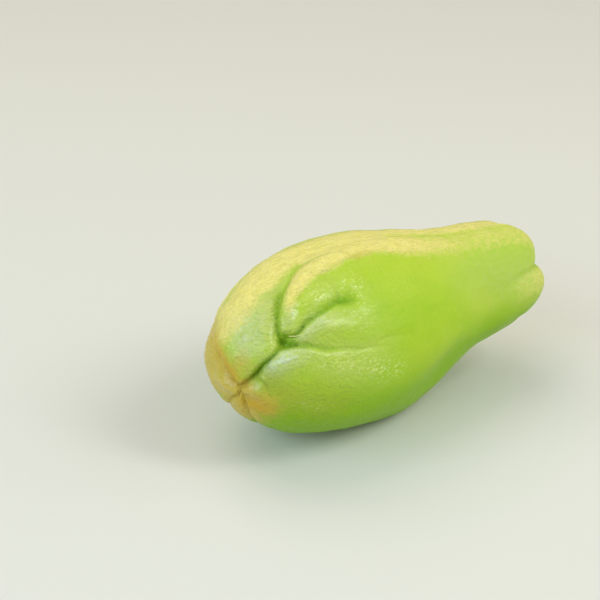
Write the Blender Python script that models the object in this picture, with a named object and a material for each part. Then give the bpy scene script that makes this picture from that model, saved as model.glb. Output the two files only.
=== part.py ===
"""Chayote squash, one whole fruit lying on its belly.

The fruit grew as one piece, so it is one closed solid.  Its skin is a smooth
pear-shaped body, described by how far a point lies along the skin from the
blossom end (its reach) and by its angle round the long axis.  Folds are pushed
into that body along its normals, and lobes are raised from it.

Frame: +X points to the stem end, +Z up, the folded cheek faces -Y, and the
origin is on the ground under the middle of the fruit.
Angles round the axis: 0 is the top, -90 the cheek (-Y), 90 the far side.
"""
import math

import bpy
import bmesh
import numpy as np

# Driving dimensions, in millimetres
BODY_LENGTH = 157.0
BELLY_RADIUS = 39.0
NECK_RADIUS = 24.5
STEM_RISE = 2.8          # how much higher the axis ends than it starts
AXIS_SAG = 4.2           # the axis hangs this much at mid-length
AXIS_BOW = 5.6           # and leans this much towards +Y there
GROUND_FLAT = 0.5        # how much of the lowest skin is pressed flat

# Mesh of the skin
FACES_PER_SIDE = 28
FOLD_PACKING = 0.2       # rows crowd towards the folded blossom end
FOLD_SOFTNESS = 1.5      # how wide the bottom of a fold is rounded
CURVE_STEP = 1.0
MM = 0.001

# Half outline of the smooth body: (share of the length, radius)
OUTLINE = [
    (0.000, 0.0),
    (0.006, 10.5),
    (0.038, 18.0),
    (0.102, 27.5),
    (0.204, 35.0),
    (0.344, BELLY_RADIUS),
    (0.484, 38.0),
    (0.611, 33.5),
    (0.739, 27.5),
    (0.860, NECK_RADIUS),
    (0.943, 21.0),
    (0.987, 14.0),
    (1.000, 0.0),
]

# Folds: points of (reach, angle, depth, width to the left, width to the right),
# each fold followed away from the mouth or away from the stem
FOLDS = {
    "mouth": [
        (12, -94, 3.4, 5, 5),
        (16, -80, 4.4, 6, 7),
        (20, -70, 4.8, 6, 8),
        (23, -62, 4.6, 7, 8),
        (27, -57, 4.2, 7, 8),
        (32, -52, 4.2, 7, 8),
        (35, -44, 4.2, 7, 6),
        (37, -34, 4.0, 7, 5),
        (42, -20, 3.6, 8, 5),
        (47, -12, 2.8, 8, 6),
        (55, -4, 1.7, 9, 8),
        (66, 4, 0.9, 9, 9),
        (84, 0, 0.4, 9, 9),
        (95, -2, 0.0, 9, 9),
    ],
    "finger": [
        (36, -40, 2.5, 5, 5),
        (37, -44, 3.2, 5, 5),
        (41, -46, 3.6, 5, 5),
        (46, -42, 3.6, 5, 6),
        (53, -39, 3.2, 6, 6),
        (62, -38, 2.4, 6, 6),
        (68, -40, 1.0, 6, 6),
        (71, -44, 0.0, 6, 6),
    ],
    "cheek": [
        (34, -52, 3.6, 5, 5),
        (41, -55, 3.0, 6, 5),
        (47, -59, 2.6, 6, 6),
        (54, -64, 2.0, 7, 6),
        (64, -68, 1.4, 8, 8),
        (75, -71, 0.6, 8, 8),
        (80, -71, 0.0, 8, 8),
    ],
    "lip": [
        (12, -90, 3.0, 5, 5),
        (8, -74, 3.0, 5, 5),
        (6, -32, 2.8, 5, 5),
        (7, 6, 2.2, 5, 5),
        (10, 26, 1.2, 6, 6),
        (21, 54, 0.7, 10, 10),
        (30, 66, 1.0, 12, 12),
        (42, 72, 1.0, 12, 12),
        (75, 75, 0.0, 12, 12),
    ],
    "chin": [
        (12, -92, 3.2, 5, 5),
        (16, -116, 2.6, 5, 5),
        (20, -128, 2.2, 5, 5),
        (24, -144, 2.0, 6, 6),
        (31, -160, 1.9, 8, 8),
        (44, -174, 2.0, 12, 12),
        (62, -180, 1.6, 13, 13),
        (85, -184, 0.7, 13, 13),
        (105, -186, 0.0, 12, 12),
    ],
    "heel": [
        (12, -94, 3.2, 5, 5),
        (12, -114, 3.0, 5, 5),
        (11, -130, 2.6, 5, 5),
        (12, -158, 2.2, 5, 5),
        (20, -188, 1.8, 6, 6),
        (36, -212, 1.6, 10, 10),
        (54, -219, 1.3, 11, 11),
        (90, -224, 0.0, 12, 12),
    ],
    "stem_front": [
        (192, -62, 4.5, 9, 9),
        (184, -62, 5.0, 8, 8),
        (175, -63, 3.0, 9, 9),
        (164, -66, 1.6, 10, 10),
        (145, -69, 0.4, 12, 12),
        (130, -68, 0.0, 12, 12),
    ],
    "stem_top": [
        (192, 8, 4.5, 9, 9),
        (184, 10, 5.0, 9, 9),
        (175, 12, 4.0, 11, 11),
        (163, 14, 2.6, 12, 12),
        (145, 18, 1.0, 12, 12),
        (120, 20, 0.0, 11, 11),
    ],
    "stem_far": [
        (192, 78, 4.5, 9, 9),
        (184, 80, 5.0, 9, 9),
        (175, 82, 4.0, 11, 11),
        (160, 84, 3.2, 12, 12),
        (138, 88, 2.8, 12, 12),
        (110, 92, 2.4, 12, 12),
        (65, 97, 0.0, 12, 12),
    ],
    "stem_under": [
        (192, 150, 4.5, 9, 9),
        (184, 152, 5.0, 9, 9),
        (175, 154, 4.0, 11, 11),
        (160, 156, 2.4, 12, 12),
        (120, 160, 0.0, 12, 12),
    ],
    "stem_low": [
        (192, 222, 4.5, 9, 9),
        (184, 224, 5.0, 9, 9),
        (175, 226, 3.6, 11, 11),
        (160, 228, 2.0, 12, 12),
        (125, 228, 0.0, 12, 12),
    ],
}

# Lobes: points of (reach, angle, height, width); a negative height is a hollow
LOBES = {
    "upper_lip": [
        (13, -60, 0.5, 7),
        (15, -20, 1.4, 9),
        (22, 6, 1.9, 10),
        (34, 14, 2.0, 10),
        (48, 17, 1.6, 10),
        (66, 20, 0.8, 10),
        (85, 20, 0.0, 10),
    ],
    "lip_face": [(18, -61, 0.4, 5), (28, -42, 1.1, 6), (36, -25, 1.0, 5), (41, -10, 0.0, 5)],
    "shoulder": [(20, 35, 0.0, 5), (24, 13, 0.8, 5), (38, 2, 0.7, 6), (58, 4, 0.0, 6)],
    "face_dip": [(20, -7, -0.3, 6), (27, -11, -0.7, 6), (40, -5, 0.0, 5)],
    "finger": [
        (39, -41, 1.2, 4),
        (42, -34, 1.8, 5),
        (46, -22, 2.9, 4),
        (50, -17, 3.1, 5),
        (63, -12, 2.8, 5),
        (78, -10, 1.8, 6),
        (95, -13, 0.8, 8),
        (115, -16, 0.0, 9),
    ],
    "finger_flank": [(46, -37, 0.4, 4), (50, -34, 1.2, 4), (56, -31, 1.5, 5), (66, -25, 0.0, 5)],
    "knuckle": [(67, -34, 0.3, 4), (70, -32, 1.3, 5), (74, -30, 1.1, 5), (79, -30, 0.0, 5)],
    "cheek": [(42, -50, 0.2, 3), (46, -49, 1.0, 4), (54, -49, 1.6, 6), (84, -60, 0.0, 9)],
    "lower_lip": [
        (23, -70, 0.6, 4),
        (27, -64, 1.4, 5),
        (31, -62, 2.0, 5),
        (40, -62, 1.6, 6),
        (47, -67, 1.4, 7),
        (70, -77, 0.6, 11),
        (88, -82, 0.0, 12),
    ],
    "chin": [
        (14, -92, 0.8, 4),
        (18, -90, 2.0, 5),
        (22, -97, 1.8, 6),
        (26, -107, 1.2, 7),
        (33, -116, 0.0, 8),
    ],
    "heel": [
        (10, -104, 1.0, 4),
        (6, -106, 1.8, 5),
        (3, -130, 1.4, 5),
        (4, 150, 1.2, 6),
        (8, 85, 0.8, 6),
        (13, 66, 0.4, 7),
    ],
    "toe": [(14, -120, 0.8, 4), (16, -132, 0.8, 4), (19, -152, 0.8, 5), (26, -175, 0.0, 5)],
    "neck_top": [(118, -20, 0.0, 12), (132, -16, 1.6, 12), (158, -14, 1.2, 12), (186, -20, 1.0, 7)],
    "stem_lobe_front": [(130, -104, 0.0, 12), (170, -102, 1.4, 12), (190, -96, 1.4, 7)],
    "stem_lobe_far": [(130, 46, 0.0, 12), (160, 46, 1.0, 13), (180, 46, 2.0, 10), (190, 46, 1.6, 7)],
    "stem_lobe_rear": [
        (130, 116, 0.0, 12),
        (160, 116, 1.2, 13),
        (180, 116, 2.4, 10),
        (190, 116, 2.0, 7),
    ],
    "stem_lobe_under": [
        (140, 188, 0.0, 12),
        (165, 188, 1.2, 13),
        (180, 188, 2.4, 10),
        (190, 188, 2.0, 7),
    ],
    "keel_front": [
        (40, -155, 0.0, 13),
        (70, -156, 0.5, 14),
        (100, -157, 4.2, 14),
        (120, -157, 3.6, 14),
        (145, -158, 0.0, 12),
    ],
    "keel_far": [
        (40, 158, 0.0, 13),
        (70, 157, 0.5, 14),
        (100, 156, 4.2, 14),
        (120, 156, 3.6, 14),
        (145, 155, 0.0, 12),
    ],
    "fold_pit": [(35, -46, -1.2, 5), (38, -49, -1.2, 5), (44, -52, 0.0, 5)],
    "waist": [(104, -118, -1.4, 10), (118, -112, -2.4, 11), (132, -106, -0.8, 10)],
}


def smooth_line(points, step, mirror_ends=False):
    """Points of a smooth curve through the given ones, about a step apart."""
    points = np.array(points, float)
    if mirror_ends:
        flip = np.array([1.0, -1.0])
        before, after = points[1] * flip, points[-2] * flip
    else:
        before, after = 2 * points[0] - points[1], 2 * points[-1] - points[-2]
    padded = np.vstack([before, points, after])
    knots = np.cumsum(np.sqrt(np.linalg.norm(np.diff(padded, axis=0), axis=1)))
    knots = np.concatenate([[0.0], knots])
    gaps = np.diff(knots)[:, None]
    slopes = np.diff(padded, axis=0) / gaps
    tangents = (slopes[:-1] * gaps[1:] + slopes[1:] * gaps[:-1]) / (gaps[:-1] + gaps[1:])
    pieces = []
    for i in range(len(points) - 1):
        span = knots[i + 2] - knots[i + 1]
        count = max(2, math.ceil(np.linalg.norm((points[i + 1] - points[i])[:3]) / step))
        u = np.linspace(0, 1, count, endpoint=False)[:, None]
        pieces.append(
            (2 * u**3 - 3 * u**2 + 1) * points[i]
            + (u**3 - 2 * u**2 + u) * span * tangents[i]
            + (3 * u**2 - 2 * u**3) * points[i + 1]
            + (u**3 - u**2) * span * tangents[i + 1]
        )
    return np.vstack(pieces + [points[-1:]])


def outline_by_reach():
    """The half outline as (station, radius) rows, and the reach of each row."""
    corners = [(share * BODY_LENGTH, radius) for share, radius in OUTLINE]
    rows = smooth_line(corners, 0.25, mirror_ends=True)
    reach = np.cumsum(np.linalg.norm(np.diff(rows, axis=0), axis=1))
    return np.concatenate([[0.0], reach]), rows


OUTLINE_REACH, OUTLINE_ROWS = outline_by_reach()
TOTAL_REACH = OUTLINE_REACH[-1]


def skin_point(reach, angle):
    """A point of the smooth body, in millimetres, from its reach and angle."""
    station = np.interp(reach, OUTLINE_REACH, OUTLINE_ROWS[:, 0])
    radius = np.maximum(np.interp(reach, OUTLINE_REACH, OUTLINE_ROWS[:, 1]), 0)
    share = station / BODY_LENGTH
    hump = 4 * share * (1 - share)
    turn = np.radians(angle)
    x = station - BODY_LENGTH / 2
    y = AXIS_BOW * hump + radius * np.sin(turn)
    z = STEM_RISE * (share - 0.5) - AXIS_SAG * hump + radius * np.cos(turn)
    return np.stack([x, y, z], axis=-1)


def skin_route(points):
    """A smooth route over the body: xyz, then the values that its points carry."""
    points = np.array(points, float)
    places = skin_point(points[:, 0], points[:, 1])
    return smooth_line(np.hstack([places, points[:, 2:]]), CURVE_STEP)


def nearest_on(route, places):
    """For each place, its distance to the route and the route's nearest row."""
    distance = np.full(len(places), np.inf)
    row = np.zeros(len(places), int)
    for i, point in enumerate(route[:, :3]):
        away = np.linalg.norm(places - point, axis=1)
        closer = away < distance
        distance[closer] = away[closer]
        row[closer] = i
    return distance, row


def fold_section(share, roundness=1.6):
    """Depth across a fold, 1 at its bottom and 0 at its edge, with round shoulders."""
    x = np.clip(share, 0, 1)
    return 1 - (1 - (1 - x) ** roundness) ** (1 / roundness)


def fold_depth(places, normals):
    """How deep all the folds together press each place in."""
    total = np.zeros(len(places))
    for points in FOLDS.values():
        route = skin_route(points)
        distance, row = nearest_on(route, places)
        along = np.gradient(route[:, :3], axis=0)
        along /= np.linalg.norm(along, axis=1, keepdims=True)
        sideways = (np.cross(along[row], normals) * (places - route[row, :3])).sum(axis=1)
        right = 0.5 + 0.5 * np.clip(sideways / (distance + 1e-6), -1, 1)
        width = route[row, 4] * (1 - right) + route[row, 5] * right
        rounded = np.hypot(distance, FOLD_SOFTNESS) - FOLD_SOFTNESS
        depth = np.maximum(route[row, 3], 0) * fold_section(rounded / width)
        total += depth**4
    return total**0.25


def lobe_height(places):
    """How far all the lobes together raise each place."""
    total = np.zeros(len(places))
    for points in LOBES.values():
        route = skin_route(points)
        distance, row = nearest_on(route, places)
        total += route[row, 3] * np.exp(-((distance / route[row, 4]) ** 2))
    return total


def read_vectors(mesh, name):
    values = np.empty(len(mesh.vertices) * 3)
    mesh.vertices.foreach_get(name, values)
    return values.reshape(-1, 3)


def ball_to_fruit(mesh):
    """Turn an evenly divided cube into the folded fruit, standing at the origin."""
    cube = read_vectors(mesh, "co")
    ball = np.tan(cube * math.pi / 4)
    ball /= np.linalg.norm(ball, axis=1, keepdims=True)
    share = np.arccos(np.clip(-ball[:, 0], -1, 1)) / math.pi
    reach = TOTAL_REACH * (share - FOLD_PACKING * np.sin(math.pi * share))
    angle = np.degrees(np.arctan2(ball[:, 1], ball[:, 2]))
    places = skin_point(reach, angle)
    mesh.vertices.foreach_set("co", places.ravel())
    mesh.update()
    normals = read_vectors(mesh, "normal")
    lift = lobe_height(places) - fold_depth(places, normals)
    places = places + normals * lift[:, None]

    # Stand it on the ground, pressed flat where it touches, and centre its box
    places[:, 2] = np.maximum(places[:, 2] - places[:, 2].min() - GROUND_FLAT, 0)
    middle = (places[:, :2].min(axis=0) + places[:, :2].max(axis=0)) / 2
    places[:, :2] -= middle
    mesh.vertices.foreach_set("co", (places * MM).ravel())
    mesh.update()


def divided_cube(name):
    """A cube whose six sides are grids of small faces."""
    mesh = bpy.data.meshes.new(name)
    cube = bmesh.new()
    bmesh.ops.create_cube(cube, size=2)
    bmesh.ops.subdivide_edges(cube, edges=cube.edges[:], cuts=FACES_PER_SIDE - 1, use_grid_fill=True)
    cube.to_mesh(mesh)
    cube.free()
    return mesh


def skin_material():
    material = bpy.data.materials.new("chayote_skin")
    material.use_nodes = True
    surface = material.node_tree.nodes["Principled BSDF"]
    surface.inputs["Base Color"].default_value = (0.45, 0.62, 0.07, 1)
    surface.inputs["Roughness"].default_value = 0.42
    surface.inputs["Metallic"].default_value = 0
    return material


def build():
    for old in list(bpy.data.objects):
        bpy.data.objects.remove(old, do_unlink=True)
    collection = bpy.data.collections.new("chayote_squash")
    bpy.context.scene.collection.children.link(collection)
    mesh = divided_cube("chayote_fruit")
    ball_to_fruit(mesh)
    mesh.shade_smooth()
    fruit = bpy.data.objects.new("chayote_fruit", mesh)
    fruit.data.materials.append(skin_material())
    collection.objects.link(fruit)


build()
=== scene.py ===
import math

import bpy
import numpy as np
from mathutils import Matrix, Vector, noise


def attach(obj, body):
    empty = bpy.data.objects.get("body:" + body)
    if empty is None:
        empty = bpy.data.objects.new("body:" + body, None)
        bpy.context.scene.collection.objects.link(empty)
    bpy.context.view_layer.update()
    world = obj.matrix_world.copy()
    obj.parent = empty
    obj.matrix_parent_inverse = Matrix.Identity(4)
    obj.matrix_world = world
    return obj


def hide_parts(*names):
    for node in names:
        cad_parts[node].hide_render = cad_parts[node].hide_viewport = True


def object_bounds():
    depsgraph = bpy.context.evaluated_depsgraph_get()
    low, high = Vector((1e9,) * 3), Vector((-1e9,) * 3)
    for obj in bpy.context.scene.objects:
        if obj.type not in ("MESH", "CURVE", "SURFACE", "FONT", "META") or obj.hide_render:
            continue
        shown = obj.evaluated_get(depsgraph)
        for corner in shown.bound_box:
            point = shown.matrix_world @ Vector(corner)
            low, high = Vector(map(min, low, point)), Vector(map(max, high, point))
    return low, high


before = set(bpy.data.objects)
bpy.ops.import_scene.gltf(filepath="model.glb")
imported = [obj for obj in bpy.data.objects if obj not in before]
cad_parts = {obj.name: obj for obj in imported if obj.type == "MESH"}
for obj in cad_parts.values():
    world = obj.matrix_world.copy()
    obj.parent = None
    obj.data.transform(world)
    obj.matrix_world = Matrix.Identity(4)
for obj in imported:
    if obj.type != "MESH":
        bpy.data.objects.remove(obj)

cadLow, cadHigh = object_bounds()
print("frame loaded, box", [round(v, 4) for v in (cadHigh - cadLow)])

mm = 0.001

# The fruit's smooth body. A place on its skin is a reach, in mm along the skin from the
# blossom end, and an angle round the long axis: 0 on top, -90 at the cheek, 90 far side.
fruit = {
    "length": 157.0,
    "bellyRadius": 39.0,
    "neckRadius": 24.5,
    "stemRise": 2.8,
    "axisSag": 4.2,
    "axisBow": 5.6,
    "groundFlat": 0.5,         # how far the underside is pressed flat
    "firstCuts": 59,           # cuts across each side of the starting cube
    "rowPacking": 0.15,        # rows crowd towards the folds
    "lumps": 0.45,             # heights and sizes of the unevenness, in mm
    "lumpSize": 16,
    "smallLumps": 0.25,
    "smallLumpSize": 7,
    "dents": 0.09,
    "blossomDents": 0.12,      # that much more at the blossom end
    "dentSize": 4.5,
    "wrinkles": 0.2,
    "wrinkleSize": 2.4,
    "plainWrinkles": 0.3,      # share of the wrinkles away from the cream ridges
}

# The smooth body's outline, as share of the length and radius in mm
outline = [
    (0.000, 0.0), (0.006, 10.5), (0.038, 18.0), (0.102, 27.5), (0.204, 35.0),
    (0.344, fruit["bellyRadius"]), (0.484, 38.0), (0.611, 33.5), (0.739, 27.5),
    (0.860, fruit["neckRadius"]), (0.943, 21.0), (0.987, 14.0), (1.000, 0.0),
]

# Folds as reach, angle, depth, width to the left, width to the right, each followed away
# from the mouth or away from the stem. Left and right say how full the skin stands beside
# the fold: 1.5 slopes in, 3 is full right up to it. Soft rounds its bottom off. The mouth
# and the finger fold change on the way, so their points go on with those three numbers.
# Crease is how wide its bottom gets painted shade, pucker how far its cross wrinkles reach.
folds = {
    "mouth": {"crease": 1.2, "pucker": 6, "route": [
        (12, -93.5, 3.6, 4, 3.5, 2.4, 2, 0.2), (15.5, -80, 5, 4.5, 5.5, 2.6, 1.7, 0.3),
        (19.5, -70, 5.4, 5, 7, 2.8, 1.7, 0.4), (22.5, -62.5, 4.8, 5.5, 7.5, 2.8, 1.7, 0.4),
        (27, -57.5, 4.2, 6, 8, 2.8, 1.8, 0.4), (31.5, -52.5, 4.2, 6, 7.5, 2.8, 1.7, 0.4),
        (33.5, -49.5, 4.4, 5.5, 6, 2.4, 1.6, 0.8), (34.6, -44, 4.2, 5.5, 5, 2.1, 1.5, 1),
        (35.3, -39, 3.3, 6, 2.4, 1.8, 2.6, 0.9), (36.3, -34, 2.9, 6.5, 2.2, 1.5, 2.8, 0.8),
        (39, -26.5, 3.1, 6.5, 2.2, 1.4, 2.8, 0.7), (42, -20, 3.3, 7, 2.4, 1.4, 2.8, 0.8),
        (44.5, -15.5, 3.1, 7.5, 3.2, 1.4, 2.4, 1.2), (47.5, -12, 2.7, 8, 4.2, 1.4, 1.8, 1.8),
        (51, -8.5, 2, 9, 6.5, 1.4, 1.5, 3), (55, -3.5, 1.4, 9, 8, 1.5, 1.5, 3.5),
        (60, 1, 0.9, 9, 9, 1.5, 1.5, 3.5), (66, 3.5, 0.7, 9, 9, 1.5, 1.5, 3.5),
        (73, 3, 0.7, 9, 8, 1.5, 1.5, 3), (84, 0.5, 0.4, 9, 8, 1.5, 1.5, 3),
        (95, -1.5, 0, 9, 8, 1.5, 1.5, 3)]},
    "finger": {"route": [
        (35, -39.5, 2, 2.4, 2.4, 2.6, 2, 0.6), (36, -41.8, 2.8, 2.4, 2.6, 2.8, 2, 0.5),
        (37.2, -44.8, 3.2, 2.6, 2.8, 2.8, 2, 0.5), (39.2, -46.2, 3.4, 2.8, 2.8, 2.8, 2, 0.5),
        (41.3, -46.4, 3.4, 3, 2.8, 2.6, 2.2, 0.5), (43.5, -45.3, 3.4, 3.4, 2.8, 2.2, 2.6, 0.5),
        (46, -42.8, 3.2, 4, 3.4, 1.9, 2.3, 0.5), (49.5, -41.2, 2.9, 4.6, 3.6, 1.7, 2.2, 0.5),
        (53, -40.2, 2.7, 4.8, 3.8, 1.7, 2.2, 0.5), (58, -39, 2.4, 4.8, 3.8, 1.7, 2.2, 0.5),
        (62.5, -37.5, 2.1, 4.6, 3.6, 1.8, 2.4, 0.5), (65, -39, 1.6, 4.2, 3.4, 1.8, 2.6, 0.5),
        (68, -40.5, 1, 4, 4, 1.8, 2, 0.6), (71, -44, 0, 4, 5, 1.8, 1.8, 0.8)]},
    "knuckle": {"left": 1.8, "right": 1.8, "route": [
        (63.5, -38, 2, 3, 3), (64, -35, 1.7, 3.4, 3), (65, -31, 1.2, 3.6, 3.6),
        (65.5, -26, 0, 4, 4)]},
    "cheek": {"left": 1.7, "right": 2.5, "soft": 0.4, "pucker": 4, "route": [
        (34.5, -52, 3.9, 3, 3), (38, -52.5, 3.4, 3.4, 3), (41.5, -55, 3, 4, 3),
        (44.5, -57, 2.7, 4.5, 3.2), (47, -59, 2.5, 5, 3.6), (50.5, -62.5, 2.3, 6, 4.5),
        (54.5, -64, 2, 7, 6), (59, -66, 1.7, 8, 7), (64, -68.5, 1.4, 8, 8),
        (70.5, -70, 1, 8, 8), (75.5, -71.5, 0.6, 8, 8), (80, -71, 0, 8, 8)]},
    "branch": {"left": 1.8, "right": 1.8, "route": [
        (69, -70, 0.6, 3, 4), (73.5, -68, 0.9, 3, 4), (78, -67.5, 0.9, 3, 5),
        (82.5, -68.5, 0.7, 3.5, 5), (86.5, -70, 0.5, 4, 5), (92, -72.5, 0, 4, 5)]},
    "lip": {"left": 1.9, "right": 2.3, "soft": 0.7, "route": [
        (12.5, -89.5, 3, 3, 3.5), (8.5, -75, 2.5, 3.8, 3.6), (6, -48, 2.1, 4.4, 4),
        (6, -20, 2, 4.8, 4.2), (7.5, 6.5, 1.7, 5, 4.6), (10, 26, 1.2, 6, 6), (15, 39.5, 0.7, 8, 8),
        (21, 54, 0.7, 10, 10), (30, 66, 1, 12, 12), (42, 72, 1, 12, 12),
        (60, 74, 0.5, 12, 12), (75, 75, 0, 12, 12)]},
    "chin": {"left": 2.6, "right": 2.6, "route": [
        (12.5, -92, 3.2, 3.5, 3), (13, -99, 3, 3.5, 3), (14.8, -114, 2.5, 3.5, 3.5),
        (17.5, -128, 2, 4, 4), (21, -144, 1.8, 5, 5), (29, -161, 1.9, 8, 8),
        (44, -174, 2, 12, 12), (62, -180, 1.6, 13, 13), (85, -184, 0.7, 13, 13),
        (105, -186, 0, 12, 12)]},
    "heel": {"left": 2.6, "right": 2.6, "route": [
        (12.5, -93.5, 3.2, 3, 3), (12.5, -102, 3.1, 3, 3), (12.5, -114, 2.9, 3, 3.2),
        (11, -130.5, 2.5, 3.4, 3.4), (12, -157.5, 2.2, 4, 4), (20, -188, 1.8, 6, 6),
        (36, -212, 1.6, 10, 10), (54, -219, 1.3, 11, 11), (72, -223, 0.7, 12, 12),
        (90, -224, 0, 12, 12)]},
    "chinTop": {"left": 1.8, "right": 2.0, "route": [
        (19.5, -74.5, 2.6, 3, 3), (21.5, -78, 2, 3.4, 3.4), (23.5, -82, 1.5, 4, 4),
        (24.5, -88, 1.1, 4.5, 4.5), (25.5, -94.5, 0.7, 5, 5), (26, -102, 0, 5, 5)]},
    "stemFront": {"left": 1.8, "right": 1.8, "soft": 1, "crease": 2, "route": [
        (192, -62, 6, 7, 7), (184, -62, 5, 8, 8), (175, -63, 3, 9, 9),
        (164, -66, 1.6, 10, 10), (154, -68, 0.9, 11, 11), (145, -69, 0.4, 12, 12),
        (130, -68, 0, 12, 12)]},
    "stemTop": {"left": 1.8, "right": 1.8, "soft": 1, "crease": 2, "route": [
        (192, 8, 6, 7, 7), (184, 10, 5, 9, 9), (175, 12, 4, 11, 11), (163, 14, 2.6, 12, 12),
        (145, 18, 1, 12, 12), (120, 20, 0, 11, 11)]},
    "stemFar": {"left": 1.8, "right": 1.8, "soft": 1, "crease": 2, "route": [
        (192, 78, 6, 7, 7), (184, 80, 5, 9, 9), (175, 82, 4, 11, 11), (160, 84, 3.2, 12, 12),
        (138, 88, 2.8, 12, 12), (110, 92, 2.4, 12, 12), (85, 95, 1.2, 12, 12),
        (65, 97, 0, 12, 12)]},
    "stemUnder": {"left": 1.8, "right": 1.8, "soft": 1, "crease": 2, "route": [
        (192, 150, 6, 7, 7), (184, 152, 5, 9, 9), (175, 154, 4, 11, 11),
        (160, 156, 2.4, 12, 12), (140, 158, 1, 12, 12), (120, 160, 0, 12, 12)]},
    "stemLow": {"left": 1.8, "right": 1.8, "soft": 1, "crease": 2, "route": [
        (192, 222, 6, 7, 7), (184, 224, 5, 9, 9), (175, 226, 3.6, 11, 11),
        (160, 228, 2, 12, 12), (140, 228, 0.6, 12, 12), (125, 228, 0, 12, 12)]},
}

# Lobes as reach, angle, height, width; a hollow has a negative height
lobes = {
    "upperLip": [(13, -60, 0.5, 7), (15, -20, 1.4, 9), (22, 6, 1.9, 10), (34, 14, 2, 10),
                 (48, 17, 1.6, 10), (66, 20, 0.8, 10), (85, 20, 0, 10)],
    "lipFace": [(18, -61, 0.4, 5), (23, -50, 0.9, 6), (28, -42, 1.1, 6), (33, -32, 1.2, 5),
                (36.5, -25, 1, 5), (39, -18, 0.6, 5), (41, -10, 0, 5)],
    "shoulder": [(20, 35, 0, 5), (24, 13, 0.8, 5), (30, 4, 0.9, 5), (38, 2, 0.7, 5.5),
                 (47, 3, 0.4, 6), (58, 4, 0, 6)],
    "faceDip": [(20, -7, -0.3, 6), (27, -11, -0.7, 6), (34, -9, -0.6, 5), (40, -5, 0, 5)],
    "finger": [(38.8, -41, 1.4, 3.2), (41.5, -34, 1.8, 3.8), (43.5, -28, 2.4, 4),
               (46.5, -22, 2.9, 4.2), (50, -17, 3.1, 4.6), (56, -13.5, 3.1, 5),
               (63, -11.5, 2.8, 5), (70, -10.5, 2.3, 5.5), (78, -10.5, 1.8, 6),
               (86, -10.5, 1.3, 7), (95, -13, 0.8, 8), (115, -16, 0, 9)],
    "fingerFlank": [(46, -37, 0.4, 4), (50, -34, 1.2, 4.5), (56, -31, 1.5, 4.6),
                    (62, -28, 1.1, 5), (66, -25, 0, 5)],
    "knuckle": [(67, -34, 0.3, 3), (70, -32, 1.3, 4), (74, -30, 1.1, 4.5), (79, -30, 0, 5)],
    "knuckleHollow": [(65.5, -37.5, -0.6, 3), (69, -39, -0.5, 3.4), (73, -40, 0, 4)],
    "cheek": [(41.5, -50.5, 0.2, 3), (45, -49, 1, 4), (51, -48, 1.6, 5), (57, -50, 1.6, 6),
              (65, -54, 1.2, 7), (74, -58, 0.6, 8), (84, -60, 0, 9)],
    "lowerLip": [(23, -70, 0.6, 4), (26.5, -64, 1.4, 4.5), (31, -62, 2, 5), (35, -61, 1.8, 5.5),
                 (40, -61.5, 1.6, 6), (47, -67, 1.4, 7), (57, -73, 1, 9), (70, -77, 0.6, 11),
                 (88, -82, 0, 12)],
    "chin": [(14, -92, 1.2, 2.8), (17, -90, 2.3, 3.4), (20, -91, 2.5, 4), (22.5, -97, 2, 5),
             (26, -107, 1.2, 6.5), (33, -116, 0, 8)],
    "heel": [(9.5, -104, 1.4, 3.2), (6, -106, 2.4, 3.8), (3, -130, 2.2, 4.4), (4, 150, 1.8, 5),
             (8, 85, 1, 6), (13, 66, 0.4, 7)],
    "toe": [(13.5, -120, 0.9, 2.6), (15, -132, 1, 3.2), (19, -152, 0.8, 4), (26, -175, 0, 5)],
    "neckTop": [(118, -20, 0, 12), (132, -16, 1.6, 12), (145, -14, 1.8, 13),
                (158, -14, 1.2, 12), (172, -16, 1.2, 10), (186, -20, 1, 7)],
    "stemLobeFront": [(130, -104, 0, 12), (155, -104, 0.8, 13), (170, -102, 1.4, 12),
                      (182, -98, 1.6, 10), (190, -96, 1.4, 7)],
    "stemLobeFar": [(130, 46, 0, 12), (160, 46, 1, 13), (180, 46, 2, 10), (190, 46, 1.6, 7)],
    "stemLobeRear": [(130, 116, 0, 12), (160, 116, 1.2, 13), (180, 116, 2.4, 10),
                     (190, 116, 2, 7)],
    "stemLobeUnder": [(140, 188, 0, 12), (165, 188, 1.2, 13), (180, 188, 2.4, 10),
                      (190, 188, 2, 7)],
    "keelFront": [(40, -155, 0, 13), (70, -156, 0.5, 14), (100, -157, 4.2, 14),
                  (120, -157, 3.6, 14), (145, -158, 0, 12)],
    "keelFar": [(40, 158, 0, 13), (70, 157, 0.5, 14), (100, 156, 4.2, 14),
                (120, 156, 3.6, 14), (145, 155, 0, 12)],
    "foldPit": [(34, -44, -0.6, 2), (35.6, -47.5, -3.4, 2.6), (38, -50, -3, 2.4),
                (41.5, -52, 0, 2.2)],
    "waist": [(104, -118, -1.4, 10), (118, -112, -2.4, 11), (132, -106, -0.8, 10)],
}

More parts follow.
